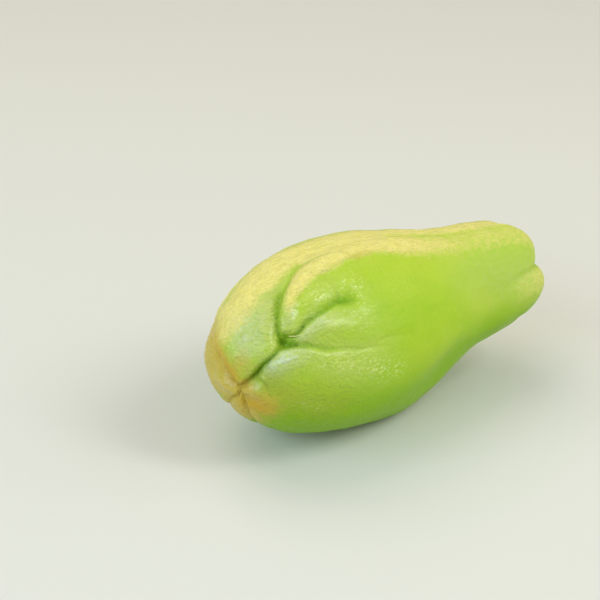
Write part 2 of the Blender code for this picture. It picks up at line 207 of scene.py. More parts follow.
# Colours that keep to one place, each along routes of reach, angle, strength, width
tints = {
    # cream is partly the skin's own colour and partly painted light
    "cream": [[(12, 30, 0.6, 7), (18, 10, 0.9, 9), (24, 8, 1, 10.5), (31, 7, 1, 10.5),
               (38, 11, 1, 11), (47, 15, 1, 11), (57, 15, 1, 11), (68, 14, 1, 10), (84, 12, 1, 10),
               (104, 10, 0.9, 10), (125, 8, 0.82, 11), (150, 12, 0.9, 12), (172, 10, 0.8, 11),
               (186, 10, 0.5, 8)],
              [(41, -34, 0.3, 3), (43, -29, 0.6, 4), (46, -23, 0.7, 4.2), (50, -18, 0.9, 4.9),
               (55, -14, 1, 5.4), (61, -12, 1, 5.6), (68, -11.5, 1, 6), (76, -10, 1, 5.6),
               (84, -9, 1, 6.4), (95, -9, 1, 7.8), (108, -12, 0.9, 10), (122, -15, 0.75, 10),
               (136, -17, 0.6, 11), (150, -17, 0.6, 12), (164, -19, 0.6, 12), (177, -24, 0.6, 11),
               (187, -30, 0.4, 9)],
              [(34, -3, 0.3, 4), (39, -1, 0.8, 4.6), (45, 3, 1, 5.5), (51, 6, 1, 6),
               (57, 8, 0.9, 7)],
              [(56, 5, 0, 6), (61, 4, 0.8, 7), (72, 2, 1, 8), (84, 1, 1, 8.5), (100, -1, 0.9, 9.5)],
              [(14, 62, 0, 8), (22, 52, 0.8, 10), (33, 44, 0.9, 12), (46, 42, 0.85, 13),
               (62, 40, 0.75, 14), (82, 34, 0.6, 14), (105, 30, 0.3, 13), (125, 28, 0, 12)],
              [(146, -60, 0, 12), (158, -80, 0.44, 14), (170, -84, 0.56, 14), (182, -84, 0.6, 13),
               (191, -80, 0.55, 10)]],
    # pale green is partly the skin's own tone and partly painted light
    "pale": [[(13, -30, 0.5, 7), (21, -30, 1, 9), (30, -26, 1, 9), (38, -10, 0.9, 8),
              (48, 4, 0.3, 7)],
             [(21, -74, 0.7, 5), (27, -66, 1, 6), (33, -61, 1, 6), (41, -60, 0.6, 6),
              (52, -67, 0.5, 8), (68, -73, 0.4, 10), (88, -76, 0, 11)],
             [(37.5, -40, 0.9, 3.4), (41, -34, 0.8, 3), (44, -29, 0.3, 3)],
             [(44, -50, 1, 5), (50, -46, 1, 5), (58, -48, 0.6, 7), (70, -52, 0.3, 9),
              (84, -56, 0, 9)],
             [(17, -90, 0.5, 3), (21, -89, 0.4, 3), (25, -92, 0, 4)],
             [(52, -33, 0.4, 4), (60, -29, 0.4, 5), (70, -31, 0.2, 5), (80, -30, 0, 6)],
             [(112, -44, 0, 12), (128, -46, 0.3, 14), (145, -56, 0.5, 15), (160, -70, 0.6, 15),
              (176, -72, 0.6, 14), (190, -72, 0.5, 10)]],
    "tan": [[(8, -104, 1, 6), (4, -130, 1, 7), (5, 160, 1, 8), (10, 80, 1, 9),
             (16, 52, 1, 9), (23, 60, 0.8, 9), (30, 66, 0.3, 9), (38, 70, 0, 9)],
            [(6, -60, 0.7, 4), (3, 0, 0.9, 6), (6, 60, 1, 9), (12, 100, 1, 11), (20, 115, 0.9, 13),
             (32, 125, 0.5, 15), (48, 130, 0, 15)],
            [(11, -125, 0.9, 5), (12, -145, 0.9, 7), (16, -165, 0.9, 8), (24, -188, 0.7, 9),
             (34, -188, 0, 10)],
            [(11, -36, 0, 5), (15, -52, 0.5, 6), (20, -61, 0.3, 5), (24, -62, 0, 4)],
            [(13, -95, 1, 5), (17, -97, 1, 5), (20, -106, 1, 6), (26, -112, 0.6, 8),
             (36, -118, 0, 10)],
            [(12, -108, 1, 5), (16, -128, 1, 7), (21, -148, 0.9, 8), (30, -170, 0, 9)]],
    "olive": [[(20, -74, 0.2, 3), (23, -78, 0.6, 4), (27, -84, 0.7, 6), (32, -91, 0.6, 7),
               (40, -98, 0.5, 8), (52, -104, 0.4, 9), (66, -110, 0, 9)]],
    "orange": [[(17, 28, 0.2, 3), (12, 14, 0.6, 3), (9.5, -3, 1, 3.2), (8.5, -26, 1, 3.2),
                (9, -52, 1, 3.4), (11, -72, 0.9, 3), (13.5, -80, 0.2, 2.6)],
               [(15, -112, 0.3, 3.5), (18, -116, 0.8, 4), (21.5, -113, 0.9, 4.5),
                (26, -108, 0.5, 5), (31, -106, 0, 5)]],
    # painted window reflection on the lobes near the mouth
    "paintedReflection": [[(20, -36, 0.2, 3), (23, -26, 0.5, 5), (26, -18, 0.5, 5), (29, -10, 0.3, 5),
               (32, -4, 0, 4)],
              [(22.5, -71, 0, 2.2), (25.5, -67, 0.5, 2.6), (29, -63, 0.9, 3), (33, -60.5, 1, 3),
               (36.5, -60, 1, 3), (41, -60, 0.6, 3), (47, -63, 0, 3)],
              [(43, -47, 0.3, 2.2), (46.5, -45.5, 0.5, 2.6), (51, -44, 0.5, 3), (57, -44, 0.2, 3)],
              [(5, -50, 0, 2.5), (6.4, -69, 0.7, 2.5), (7.5, -88, 0.7, 2.5), (8, -104, 0, 2.5)],
              [(17, -84, 0.2, 1.2), (19, -84, 0.5, 1.2), (22, -85, 0.3, 1.2), (24, -88, 0, 1.6)],
              [(41, -38, 0.2, 2), (43.5, -32, 0.5, 1.8), (45.5, -28, 0, 1.6)]],
    # painted shade in the pit under the finger, the knuckle hollow and the lower mouth fold
    "recessShade": [[(34, -46, 0.3, 1.6), (35.4, -47.6, 0.8, 2), (36.6, -49, 0.8, 2),
              (38.5, -50.5, 0.5, 1.8), (41, -52, 0, 1.6)],
             [(60, -37.5, 0.2, 1.8), (63.5, -38.2, 0.7, 2.2), (67, -39.5, 0.7, 2.2),
              (71, -41, 0, 2)],
             [(27, -57.5, 0.5, 1.2), (23, -62, 0.7, 1.4), (20, -68, 0.7, 1.4),
              (18, -74, 0.4, 1.2)]],
    # painted shade: a darker green line along the bottoms of the mouth and finger folds
    "fold": [[(33.8, -45, 0.1, 1.2), (34.6, -39, 0.3, 1.3), (35.8, -33, 0.5, 1.3),
              (38.4, -25.5, 0.7, 1.4), (41.4, -18, 0.7, 1.5), (44, -14, 0.55, 1.6),
              (47, -11.5, 0.3, 1.8), (50, -9, 0, 2)],
             [(43, -45.6, 0, 1.1), (46, -42.8, 0.3, 1.2), (49.5, -41.2, 0.6, 1.3),
              (55, -39.7, 0.7, 1.3), (60, -38.6, 0.6, 1.3), (63, -38, 0.2, 1.2)]],
    "wax": [[(24, -70, 1, 4), (28, -63, 1, 5), (33, -60, 1, 5), (40, -60, 0.7, 4), (46, -63, 0, 4)],
            [(43, -50, 0.7, 4), (49, -46, 0.7, 4), (56, -44, 0.4, 4), (62, -44, 0, 4)],
            [(46, -76, 0, 5), (56, -80, 0.8, 6), (66, -88, 0.9, 6), (78, -100, 0.7, 6),
             (86, -104, 0, 6)],
            [(8, -104, 1, 4), (4, -115, 1, 4), (3, 150, 0.8, 4), (8, 80, 0, 5)],
            [(15, -88, 0.7, 2), (19, -86, 0.8, 2), (23, -88, 0, 2)],
            [(40, -38, 0.4, 3), (43, -33, 0.4, 3), (47, -28, 0, 3)]],
    # painted glints: small bright flecks where highlights fall
    "paintedGlint": [[(48, -37, 0.4, 3), (51, -34, 1, 4), (56, -31, 1, 4.6), (61, -29, 0.8, 4),
               (64, -27, 0, 3)],
              [(67, -33, 0.7, 3), (70, -32, 1, 4.4), (74, -35, 1, 4.4), (72, -39, 0.6, 3)],
              [(48, -45, 0, 3), (52, -43, 0.6, 3), (62, -46, 0.5, 4), (67, -49, 0.9, 4.5),
               (72, -49, 0.7, 4.5), (78, -49, 0, 4)],
              [(35, -94, 0, 2.5), (39, -98.5, 0.6, 2.6), (43, -102, 0.8, 2.6), (46, -105, 0.8, 2.6),
               (50, -109, 0, 2.5)],
              [(36, -60, 0.4, 4), (48, -68, 0.6, 4.5), (60, -76, 0.9, 5), (68, -80, 0.9, 5),
               (80, -88, 0.8, 5), (90, -92, 0, 5)],
              [(33, -39, 0.7, 2.4), (30.5, -46, 0.9, 2.6), (28, -52, 0.9, 2.6), (25, -57, 0, 3)]],
    "scuff": [[(76, -8, 0.0, 1.4), (79, -13, 0.5, 1.4), (81, -16, 0.6, 1.6),
               (84, -14, 0.5, 1.4), (88, -15, 0.5, 1.4), (92, -18, 0, 1.4)]],
}


def smoothLine(points, step, mirrorEnds=False):
    # points of a smooth curve through the given ones, about a step apart
    points = np.array(points, float)
    if mirrorEnds:
        flip = np.array([1.0, -1.0])
        before, after = points[1] * flip, points[-2] * flip
    else:
        before, after = 2 * points[0] - points[1], 2 * points[-1] - points[-2]
    padded = np.vstack([before, points, after])
    knots = np.cumsum(np.sqrt(np.linalg.norm(np.diff(padded, axis=0), axis=1)))
    knots = np.concatenate([[0.0], knots])
    gaps = np.diff(knots)[:, None]
    slopes = np.diff(padded, axis=0) / gaps
    tangents = (slopes[:-1] * gaps[1:] + slopes[1:] * gaps[:-1]) / (gaps[:-1] + gaps[1:])
    pieces = []
    for i in range(len(points) - 1):
        span = knots[i + 2] - knots[i + 1]
        count = max(2, math.ceil(np.linalg.norm((points[i + 1] - points[i])[:3]) / step))
        u = np.linspace(0, 1, count, endpoint=False)[:, None]
        pieces.append(
            (2 * u**3 - 3 * u**2 + 1) * points[i]
            + (u**3 - 2 * u**2 + u) * span * tangents[i]
            + (3 * u**2 - 2 * u**3) * points[i + 1]
            + (u**3 - u**2) * span * tangents[i + 1]
        )
    return np.vstack(pieces + [points[-1:]])


outlineRows = smoothLine([(s * fruit["length"], r) for s, r in outline], step=0.25, mirrorEnds=True)
outlineSteps = np.linalg.norm(np.diff(outlineRows, axis=0), axis=1)
outlineReach = np.concatenate([[0.0], np.cumsum(outlineSteps)])


def skinPoint(reach, angle):
    # a place on the smooth body, whose axis bows sideways, sags and rises to the stem
    station = np.interp(reach, outlineReach, outlineRows[:, 0])
    radius = np.maximum(np.interp(reach, outlineReach, outlineRows[:, 1]), 0)
    share = station / fruit["length"]
    hump = 4 * share * (1 - share)
    turn = np.radians(angle)
    x = station - fruit["length"] / 2
    y = fruit["axisBow"] * hump + radius * np.sin(turn)
    z = fruit["stemRise"] * (share - 0.5) - fruit["axisSag"] * hump + radius * np.cos(turn)
    return np.stack([x, y, z], axis=-1)


routeStep = 0.5     # mm between a route's points


def skinRoute(points):
    points = np.array(points, float)
    return smoothLine(np.hstack([skinPoint(points[:, 0], points[:, 1]), points[:, 2:]]), routeStep)


def nearestOn(route, places, farthest):
    # distance from each place to the route, and the route's row nearest to it
    distance = np.full(len(places), np.inf)
    row = np.zeros(len(places), int)
    low = route[:, :3].min(axis=0) - farthest
    high = route[:, :3].max(axis=0) + farthest
    near = np.nonzero(np.all((places > low) & (places < high), axis=1))[0]
    batch = 4000
    for start in range(0, len(near), batch):
        some = near[start:start + batch]
        away = ((places[some, None, :] - route[None, :, :3]) ** 2).sum(axis=-1)
        row[some] = away.argmin(axis=1)
        distance[some] = np.sqrt(away[np.arange(len(some)), row[some]])
    return distance, row


def foldSection(share, fullness):
    # a fold's depth across its side, from 1 at its bottom to 0 at its width
    x = np.clip(share, 0, 1)
    return 1 - (1 - (1 - x) ** fullness) ** (1 / fullness)


def foldDepth(places, normals):
    # how deep the folds press each place in, how near it is to a fold's bottom, and the
    # strength, run and distance of the pucker beside its nearest fold
    blend = 4               # a high power, so crossing folds don't add up
    margin = 1.02           # a little past a fold's width
    fullCrease = 3.5        # mm of depth from where a bottom has its full painted shade
    fullPucker = 5
    puckerFaded = 2.5       # pucker widths away, where nothing of it is left
    runApart = 200          # mm between the pucker patterns of two folds
    total, crease, pucker, strongest, runner, beside = np.zeros((6, len(places)))
    for number, fold in enumerate(folds.values()):
        route = skinRoute(fold["route"])
        widest = max(route[:, 4:6].max() * margin, fold.get("pucker", 0) * puckerFaded)
        distance, row = nearestOn(route, places, widest)
        along = np.gradient(route[:, :3], axis=0)
        along /= np.linalg.norm(along, axis=1, keepdims=True)
        sideways = (np.cross(along[row], normals) * (places - route[row, :3])).sum(axis=1)
        distance = np.minimum(distance, 1e6)     # it is endless far from the route
        right = 0.5 + 0.5 * np.clip(sideways / (distance + 1e-6), -1, 1)
        width = route[row, 4] * (1 - right) + route[row, 5] * right
        if "left" in fold:
            leftFull, rightFull, soft = fold["left"], fold["right"], fold.get("soft", 0.2)
        else:
            leftFull, rightFull, soft = route[row, 6:9].T
        share = (np.sqrt(distance**2 + soft**2) - soft) / width
        section = (1 - right) * foldSection(share, leftFull) + right * foldSection(share, rightFull)
        total += (np.maximum(route[row, 3], 0) * section) ** blend
        line = np.exp(-((distance / fold.get("crease", 0.9)) ** 2))
        crease = np.maximum(crease, line * np.clip(route[row, 3] / fullCrease, 0, 1))
        if "pucker" in fold:
            strength = np.exp(-(distance / fold["pucker"]) ** 2)
            strength *= np.clip(route[row, 3] / fullPucker, 0, 1)
            # it fades out where two folds pucker alike, so no seam shows between them
            wins = strength > strongest
            pucker = np.abs(strength - strongest)
            strongest = np.maximum(strength, strongest)
            runner[wins] = row[wins] * routeStep + number * runApart
            beside[wins] = distance[wins]
    return total ** (1 / blend), crease, pucker, runner, beside


def swelling(places, points):
    # a soft ridge along a route, whose points give its height and width
    route = skinRoute(points)
    faded = 2.6     # widths away, where nothing of it is left
    distance, row = nearestOn(route, places, route[:, 4].max() * faded)
    return route[row, 3] * np.exp(-(np.minimum(distance, 1e3) / route[row, 4]) ** 2)


def tintAt(places, routes):
    # the strongest of a tint's routes, 0 to 1
    return np.clip(np.max([swelling(places, points) for points in routes], axis=0), 0, 1)


def readVectors(mesh, name):
    values = np.empty(len(mesh.vertices) * 3)
    mesh.vertices.foreach_get(name, values)
    return values.reshape(-1, 3)


def writePlaces(mesh, places):
    mesh.vertices.foreach_set("co", places.ravel())
    mesh.update()


def noiseAt(places, size, seed, stretch=(1, 1, 1), layers=1):
    # smooth noise from -1 to 1, one value for each place; size is a lump's size in mm
    scaled = places / size / np.array(stretch) + np.array([seed * 17.3, seed * 5.1, -seed * 9.7])
    if layers == 1:
        return np.array([noise.noise(Vector(p)) for p in scaled])
    return np.array([noise.fractal(Vector(p), 0.9, 2.1, layers) for p in scaled])


def addAttribute(mesh, name, values):
    layer = mesh.attributes.new(name, "FLOAT", "POINT")
    layer.data.foreach_set("value", np.ascontiguousarray(values, dtype=np.float32))


def makeFruit():
    bpy.ops.object.select_all(action="DESELECT")
    bpy.ops.mesh.primitive_cube_add(size=2)
    skin = bpy.context.object
    skin.name = "chayoteSkin"
    skin.data.name = "chayoteSkin"
    bpy.ops.object.mode_set(mode="EDIT")
    bpy.ops.mesh.select_all(action="SELECT")
    bpy.ops.mesh.subdivide(number_cuts=fruit["firstCuts"])
    bpy.ops.mesh.subdivide(number_cuts=1)
    bpy.ops.object.mode_set(mode="OBJECT")
    mesh = skin.data

    # round the cube into a ball, then draw the ball out into the smooth body
    ball = np.tan(readVectors(mesh, "co") * math.pi / 4)
    ball /= np.linalg.norm(ball, axis=1, keepdims=True)
    share = np.arccos(np.clip(-ball[:, 0], -1, 1)) / math.pi
    reach = outlineReach[-1] * (share - fruit["rowPacking"] * np.sin(math.pi * share))
    angle = np.degrees(np.arctan2(ball[:, 1], ball[:, 2]))
    places = skinPoint(reach, angle)
    writePlaces(mesh, places)
    normals = readVectors(mesh, "normal")
    bodyUp = normals[:, 2].copy()

    # press the folds in and raise the lobes
    depth, crease, pucker, runner, beside = foldDepth(places, normals)
    lift = sum(swelling(places, points) for points in lobes.values())
    folded = places + normals * (lift - depth)[:, None]
    writePlaces(mesh, folded)
    normals = readVectors(mesh, "normal")

    # soft lumps and dents, then fine wrinkles that run along the ridges
    lumps = fruit["lumps"] * noiseAt(places, fruit["lumpSize"], 1, (1.8, 1, 1))
    lumps += fruit["smallLumps"] * noiseAt(places, fruit["smallLumpSize"], 2, (1.6, 1, 1))
    blossomShare = np.clip((100 - reach) / 50, 0, 1)     # all of it up to 50 mm, none from 100
    dentDepth = fruit["dents"] + fruit["blossomDents"] * blossomShare
    lumps += dentDepth * noiseAt(places, fruit["dentSize"], 6, (1.8, 1, 1), 2)
    wrinkles = fruit["wrinkles"] * noiseAt(places, fruit["wrinkleSize"], 3, (3, 1, 1), 3)
    wrinkles *= fruit["plainWrinkles"] + tintAt(places, tints["cream"])
    folded = folded + normals * (lumps + wrinkles)[:, None]

    # stand it on the ground, pressed flat where it touches, over the middle of the frame
    lowest = folded[:, 2].min()
    folded[:, 2] = np.maximum(folded[:, 2] - lowest - fruit["groundFlat"], 0)
    middle = (folded[:, :2].min(axis=0) + folded[:, :2].max(axis=0)) / 2
    shift = np.array(((cadLow + cadHigh) / 2)[:2]) / mm - middle
    folded[:, :2] += shift
    writePlaces(mesh, folded * mm)
    bpy.ops.object.select_all(action="DESELECT")
    skin.select_set(True)
    bpy.context.view_layer.objects.active = skin
    bpy.ops.object.shade_smooth()

    # painted shade: darker green along fold bottoms and where the skin is sunk deep
    sunkShare = np.clip((depth - lift - 3.5) / 5, 0, 1)     # from 3.5 to 8.5 mm down
    addAttribute(mesh, "foldShade", np.maximum(crease, sunkShare))
    # how much the skin faces up, which sets the painted top light
    addAttribute(mesh, "topShare", np.clip(0.7 * bodyUp + 0.3 * normals[:, 2], 0, 1))
    addAttribute(mesh, "underShare", -bodyUp)
    addAttribute(mesh, "blossomShare", blossomShare)
    addAttribute(mesh, "pucker", pucker)
    addAttribute(mesh, "puckerRun", runner)
    addAttribute(mesh, "puckerBeside", beside)
    for name, routes in tints.items():
        addAttribute(mesh, name + "Tint", tintAt(places, routes))
    offset = np.array([*shift, -lowest - fruit["groundFlat"]])
    print("skin made,", len(mesh.polygons), "faces")
    return skin, offset * mm, places, folded * mm


skinFinish = {
    "green": (0.350, 0.560, 0.018, 1),
    "limeGreen": (0.425, 0.600, 0.036, 1),
    "shadedBellyGreen": (0.230, 0.450, 0.006, 1),
    "paleGreen": (0.490, 0.580, 0.175, 1),
    "foldShadeGreen": (0.250, 0.460, 0.004, 1),
    "recessShadeGreen": (0.170, 0.380, 0.004, 1),
    "poreGreen": (0.250, 0.430, 0.020, 1),
    "cream": (0.800, 0.720, 0.240, 1),
    "furrowShadeOlive": (0.480, 0.500, 0.080, 1),
    "paintedGlintYellow": (0.760, 0.850, 0.330, 1),
    "paintedReflectionWhite": (0.580, 0.680, 0.480, 1),
    "olive": (0.350, 0.410, 0.035, 1),
    "tan": (0.590, 0.435, 0.085, 1),
    "orange": (0.580, 0.360, 0.018, 1),
    "scuffTan": (0.520, 0.420, 0.060, 1),
    # how much of a colour there is where it is strongest
    "limeMottle": 0.35,
    "paintedTopLightShare": 0.1,
    "furrowShadeShare": 0.22,
    "bellyShadeShare": 0.95,
    "paintedGlintShare": 0.75,
    "foldShadeShare": 0.7,
    "tanShare": 0.9,
    "poreShare": 0.22,
    # sizes of the patterns, in mm
    "patchSize": 22,
    "mottleSize": 2.4,
    "speckleSize": 1.2,
    "furrowSize": 1.5,
    "glossSize": 3.5,
    "wrinkleSize": 3.2,
    "grainSize": 1.6,
    # cells in a metre
    "paintedGlints": (480, 950, 950),
    "pores": 620,
    "pebbles": 900,
    # heights of the relief, in mm
    "pebbleRelief": 0.45,
    "grainRelief": 0.4,
    "wrinkleRelief": 0.3,
    "poreRelief": -0.04,
    "puckerRelief": 0.9,
    "flankRelief": 0.2,          # share of it on the smooth flanks
    # shine
    "roughness": (0.30, 0.42),
    "ridgeRoughness": 0.2,       # added on the dry ridges
    "wax": 0.05,
    "blossomWax": 0.35,          # added at the blossom end
    "waxPatches": 0.6,           # added where the wax tint lies
    "waxRoughness": 0.2,
    "specular": 0.12,
    # light that passes through the skin, and how far in metres for each colour
    "throughShare": 0.35,
    "throughColour": (0.9, 1.0, 0.2),
    "throughReach": 0.003,
}


def addNode(tree, kind, **settings):
    made = tree.nodes.new(kind)
    for name, value in settings.items():
        setattr(made, name, value)
    return made


def join(tree, value, socket):
    # link a socket, or set a plain value
    if isinstance(value, bpy.types.NodeSocket):
        tree.links.new(value, socket)
    else:
        socket.default_value = value


def attribute(tree, name):
    return addNode(tree, "ShaderNodeAttribute", attribute_name=name).outputs["Fac"]


def mixColour(tree, factor, first, second):
    mix = addNode(tree, "ShaderNodeMix", data_type="RGBA", clamp_factor=True)
    join(tree, factor, mix.inputs[0])
    join(tree, first, mix.inputs[6])
    join(tree, second, mix.inputs[7])
    return mix.outputs[2]


def calculate(tree, operation, *values, clamp=False):
    sums = addNode(tree, "ShaderNodeMath", operation=operation, use_clamp=clamp)
    for value, socket in zip(values, sums.inputs):
        join(tree, value, socket)
    return sums.outputs[0]


def times(tree, first, *others):
    for other in others:
        first = calculate(tree, "MULTIPLY", first, other)
    return first


def less(tree, value, factor):
    # 1 where the value is 0, falling by the factor, never under 0
    return calculate(tree, "MULTIPLY_ADD", value, -factor, 1.0, clamp=True)


def ramp(tree, value, low, high, fromValue=0.0, toValue=1.0):
    spread = addNode(tree, "ShaderNodeMapRange", interpolation_type="SMOOTHSTEP")
    join(tree, value, spread.inputs["Value"])
    spread.inputs["From Min"].default_value = low
    spread.inputs["From Max"].default_value = high
    spread.inputs["To Min"].default_value = fromValue
    spread.inputs["To Max"].default_value = toValue
    return spread.outputs["Result"]


def noiseLayer(tree, vector, size, stretch=(1, 1, 1), detail=2.0, kind="FBM"):
    # size is one lump in mm, stretch makes it longer along an axis
    mapping = addNode(tree, "ShaderNodeMapping")
    mapping.inputs["Scale"].default_value = [1 / (size * mm * s) for s in stretch]
    tree.links.new(vector, mapping.inputs["Vector"])
    pattern = addNode(tree, "ShaderNodeTexNoise", noise_type=kind)
    pattern.inputs["Scale"].default_value = 1.0
    pattern.inputs["Detail"].default_value = detail
    tree.links.new(mapping.outputs[0], pattern.inputs["Vector"])
    return pattern.outputs["Fac"]


def cellLayer(tree, vector, perMetre, kind="F1", smoothness=None):
    cells = addNode(tree, "ShaderNodeTexVoronoi", feature=kind)
    cells.inputs["Scale"].default_value = perMetre
    if smoothness is not None:
        cells.inputs["Smoothness"].default_value = smoothness
    tree.links.new(vector, cells.inputs["Vector"])
    return cells.outputs["Distance"]


def bump(tree, height, distance):
    made = addNode(tree, "ShaderNodeBump")
    tree.links.new(height, made.inputs["Height"])
    made.inputs["Strength"].default_value = 1.0
    made.inputs["Distance"].default_value = distance * mm
    return made.outputs["Normal"]


def skinColour(tree, place, patterns):
    # colour, cream share and painted fold shade of the skin
    broad, mottle, speckle, furrows, pores = patterns

    def tinted(colour, share, name):
        return mixColour(tree, share, colour, skinFinish[name])

    def mottled(colour, tint, low, high, weakest, strongest, name):
        # a tint that the mottling weakens in small spots
        spots = ramp(tree, mottle, low, high, weakest, strongest)
        return tinted(colour, times(tree, attribute(tree, tint), spots), name)

    # green, mottled lime in broad patches and in small ones, paler round the mouth and on the stem
    # lobe, partly the skin's own tone and partly painted light
    patches = ramp(tree, broad, 0.35, 0.65)
    colour = mixColour(tree, patches, skinFinish["green"], skinFinish["limeGreen"])
    lime = ramp(tree, mottle, 0.35, 0.7, 0, skinFinish["limeMottle"])
    colour = tinted(colour, lime, "limeGreen")
    colour = mottled(colour, "paleTint", 0.25, 0.7, 0.6, 1.0, "paleGreen")

    # cream along the upper ridges, partly the skin's own sun-bleached colour and partly painted
    # light, with painted shade in its leathery furrows
    edge = calculate(tree, "MULTIPLY_ADD", mottle, 0.35, attribute(tree, "creamTint"))
    edge = calculate(tree, "MULTIPLY_ADD", speckle, 0.25, edge)
    # the upward-facing skin gets painted top light
    paintedTopLight = ramp(tree, attribute(tree, "topShare"), 0.55, 1.0, 0, skinFinish["paintedTopLightShare"])
    cream = calculate(tree, "MAXIMUM", ramp(tree, edge, 0.6, 1.15), paintedTopLight)
    colour = tinted(colour, cream, "cream")
    # painted shade: darker olive down in the grain's furrows
    furrowShade = ramp(tree, furrows, 0.38, 0.55, skinFinish["furrowShadeShare"], 0)
    colour = tinted(colour, times(tree, furrowShade, cream), "furrowShadeOlive")

    # painted shade: deeper green underneath
    bellyShade = ramp(tree, attribute(tree, "underShare"), -0.25, 0.5, 0, skinFinish["bellyShadeShare"])
    colour = tinted(colour, bellyShade, "shadedBellyGreen")
    # painted glints: small bright dashes on the lobes
    dashes = addNode(tree, "ShaderNodeMapping")
    dashes.inputs["Scale"].default_value = skinFinish["paintedGlints"]
    tree.links.new(place, dashes.inputs["Vector"])
    paintedGlints = cellLayer(tree, dashes.outputs[0], 1.0)
    paintedGlints = ramp(tree, paintedGlints, 0.15, 0.6, skinFinish["paintedGlintShare"], 0)
    paintedGlints = times(tree, paintedGlints, ramp(tree, speckle, 0.35, 0.6), attribute(tree, "paintedGlintTint"))
    colour = tinted(colour, paintedGlints, "paintedGlintYellow")

    # painted window reflection: pale bluish patches on the lobes
    paintedReflection = times(tree, attribute(tree, "paintedReflectionTint"), ramp(tree, furrows, 0.35, 0.65, 0.25, 0.85))
    colour = tinted(colour, paintedReflection, "paintedReflectionWhite")
    # painted shade: darker green down in the folds and along their bottoms
    foldShade = ramp(tree, attribute(tree, "foldShade"), 0.1, 1.0, 0, skinFinish["foldShadeShare"])
    foldShade = calculate(tree, "MAXIMUM", foldShade, attribute(tree, "foldTint"))
    colour = tinted(colour, foldShade, "foldShadeGreen")
    # painted shade: darkest green in the pit and the other deep recesses
    colour = tinted(colour, attribute(tree, "recessShadeTint"), "recessShadeGreen")

    # olive on the lower lip, tan chin and heel, the orange band above the lip, the scuff
    colour = mottled(colour, "oliveTint", 0.2, 0.6, 0.7, 1.0, "olive")
    tan = calculate(tree, "MULTIPLY_ADD", mottle, 0.5, attribute(tree, "tanTint"))
    tan = calculate(tree, "MULTIPLY_ADD", broad, 0.3, tan)
    colour = tinted(colour, ramp(tree, tan, 0.4, 1.3, 0, skinFinish["tanShare"]), "tan")
    colour = mottled(colour, "orangeTint", 0.2, 0.6, 0.75, 1.0, "orange")
    colour = mottled(colour, "scuffTint", 0.3, 0.6, 0.2, 0.9, "scuffTan")
    colour = tinted(colour, times(tree, pores, skinFinish["poreShare"]), "poreGreen")
    return colour, cream, foldShade


def skinRelief(tree, place, furrows, pores, cream, blossomShare, openSkin):
    # puckers square to the folds, wrinkles along the fruit, pebbly grain, pores
    across = addNode(tree, "ShaderNodeCombineXYZ")
    tree.links.new(times(tree, attribute(tree, "puckerRun"), 0.65), across.inputs["X"])
    tree.links.new(times(tree, attribute(tree, "puckerBeside"), 0.2), across.inputs["Y"])
    puckers = addNode(tree, "ShaderNodeTexNoise")
    puckers.inputs["Scale"].default_value = 1.0
    puckers.inputs["Detail"].default_value = 1.5
    tree.links.new(across.outputs[0], puckers.inputs["Vector"])
    puckerShare = ramp(tree, attribute(tree, "pucker"), 0.1, 0.7, 0, skinFinish["puckerRelief"])
    puckerShare = times(tree, puckerShare, openSkin)

    pebbles = cellLayer(tree, place, skinFinish["pebbles"], "SMOOTH_F1", 0.6)
    wrinkles = noiseLayer(
        tree, place, skinFinish["wrinkleSize"], (2.4, 1, 1), 3, "RIDGED_MULTIFRACTAL")
    grain = noiseLayer(tree, place, skinFinish["grainSize"], (1.4, 1, 1), 2)
    relief = times(tree, grain, skinFinish["grainRelief"])
    relief = calculate(tree, "MULTIPLY_ADD", pebbles, skinFinish["pebbleRelief"], relief)
    relief = calculate(tree, "MULTIPLY_ADD", wrinkles, skinFinish["wrinkleRelief"], relief)
    furrowed = calculate(tree, "MAXIMUM", cream, attribute(tree, "paleTint"))
    relief = calculate(tree, "MULTIPLY_ADD", furrows, furrowed, relief)

    # full at the blossom end and on the cream ridges, weak on the smooth flanks
    coarse = calculate(tree, "MAXIMUM", blossomShare, cream)
    flanks = skinFinish["flankRelief"]
    relief = times(tree, relief, calculate(tree, "MULTIPLY_ADD", coarse, 1 - flanks, flanks))
    relief = calculate(tree, "MULTIPLY_ADD", puckers.outputs["Fac"], puckerShare, relief)
    return calculate(tree, "MULTIPLY_ADD", pores, skinFinish["poreRelief"], relief)


